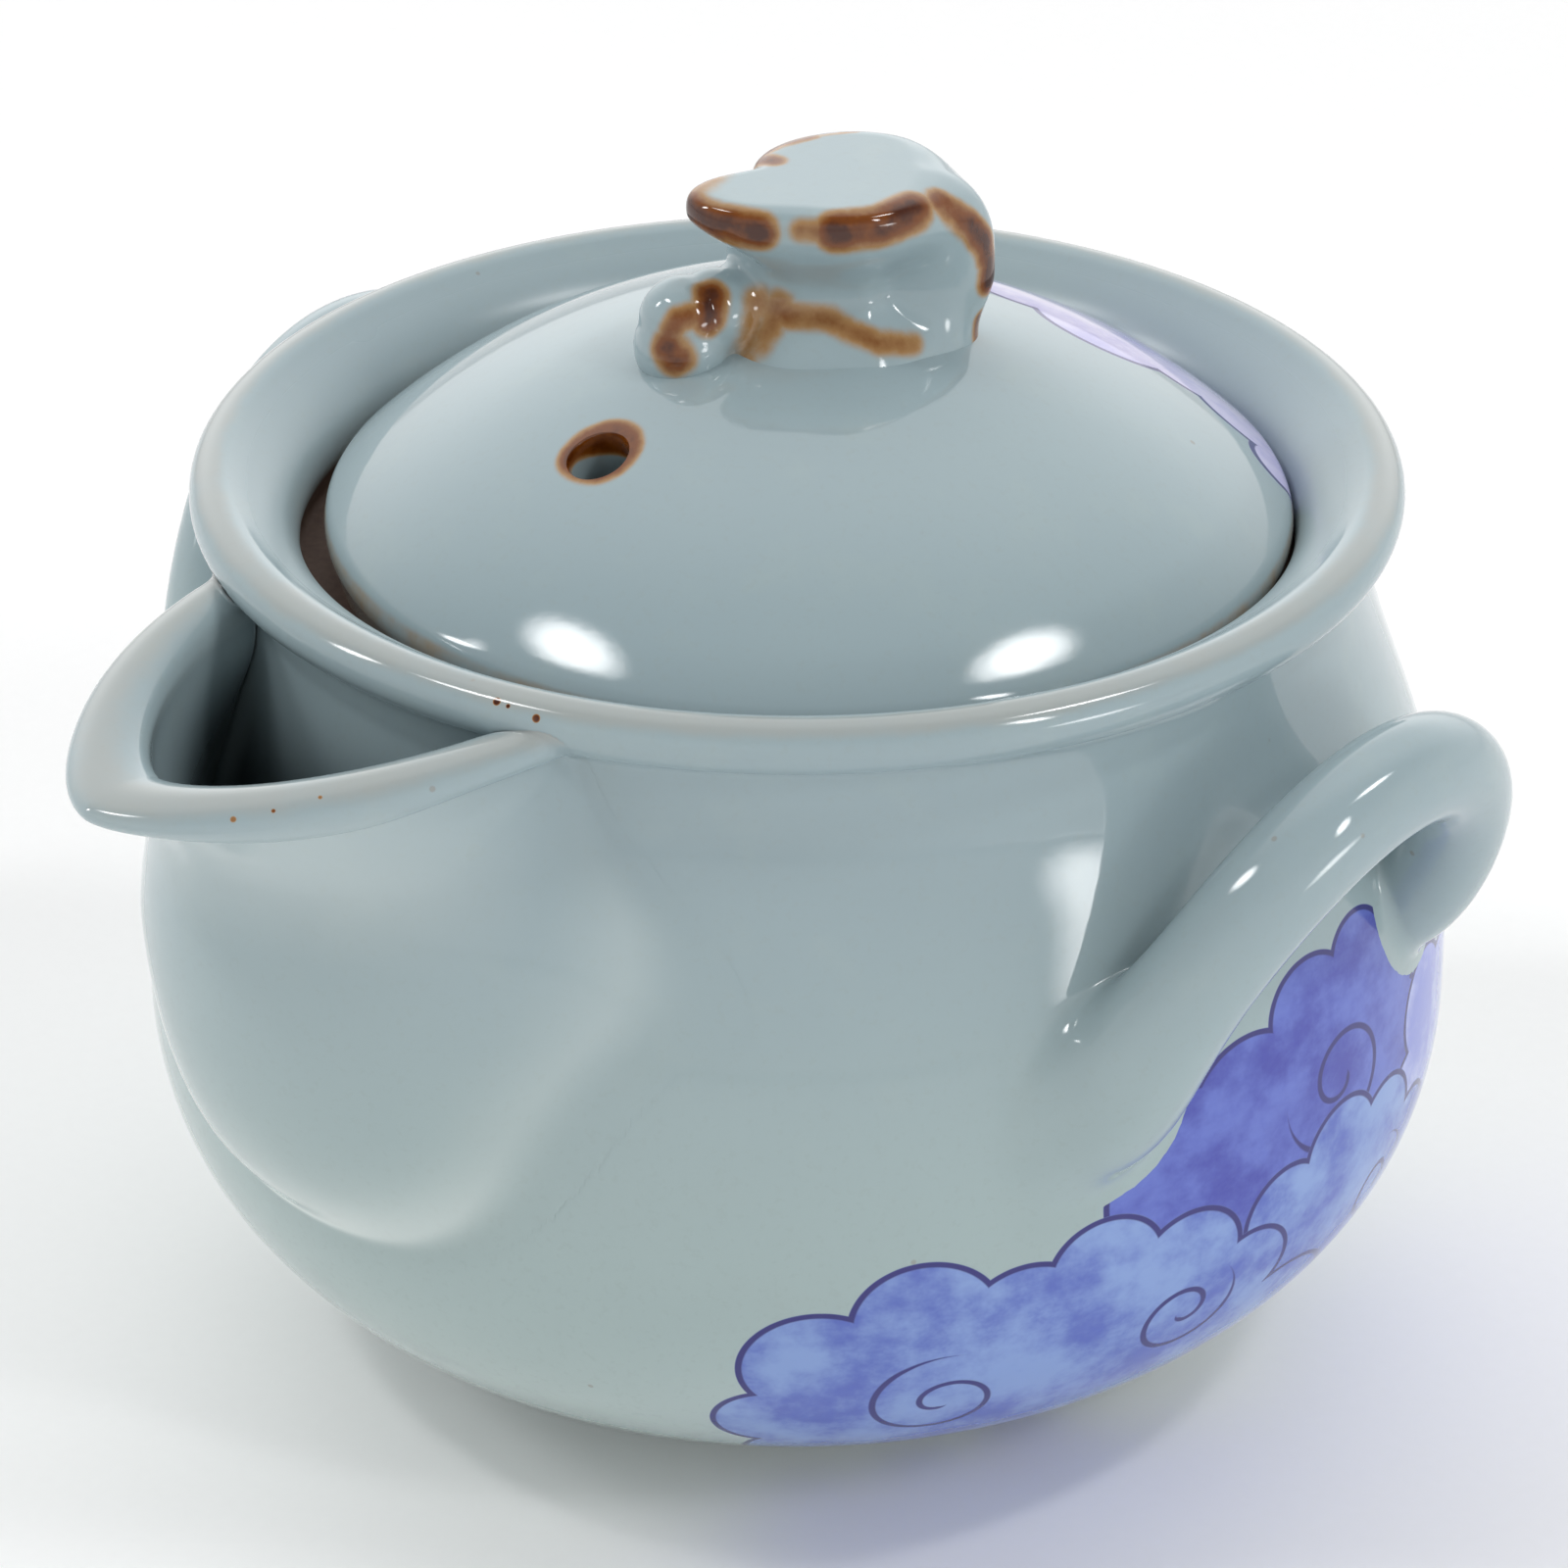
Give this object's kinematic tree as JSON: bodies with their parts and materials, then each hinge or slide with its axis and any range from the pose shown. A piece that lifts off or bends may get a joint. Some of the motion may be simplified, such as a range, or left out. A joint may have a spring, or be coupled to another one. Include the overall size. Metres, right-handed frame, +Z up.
{
  "type": "lidded teapot",
  "caption": "Low round glazed ceramic teapot with an open beak spout, loop handles at the sides and a domed lift-off lid with a scroll knob.",
  "frame": {"origin": "centre of the foot ring, on the table plane", "axes": "+Z up along the pot's axis, -Y toward the spout, +X toward the right-hand handle"},
  "size_m": [0.1122, 0.1133, 0.0909],
  "materials": {
    "glaze_bowl": "gloss",
    "glaze_spout": "gloss",
    "glaze_handle": "gloss",
    "glaze_lid": "gloss",
    "glaze_knob": "gloss"
  },
  "bodies": {
    "pot": {"bowl": "glaze_bowl", "spout": "glaze_spout", "handle_left": "glaze_handle", "handle_right": "glaze_handle"},
    "lid": {"lid": "glaze_lid", "lid_knob": "glaze_knob"}
  },
  "joints": [
    {"name": "lid_lift", "type": "slide", "parent": "pot", "child": "lid", "axis": [0, 0, 1], "range_m": [0, 0.06]}
  ]
}
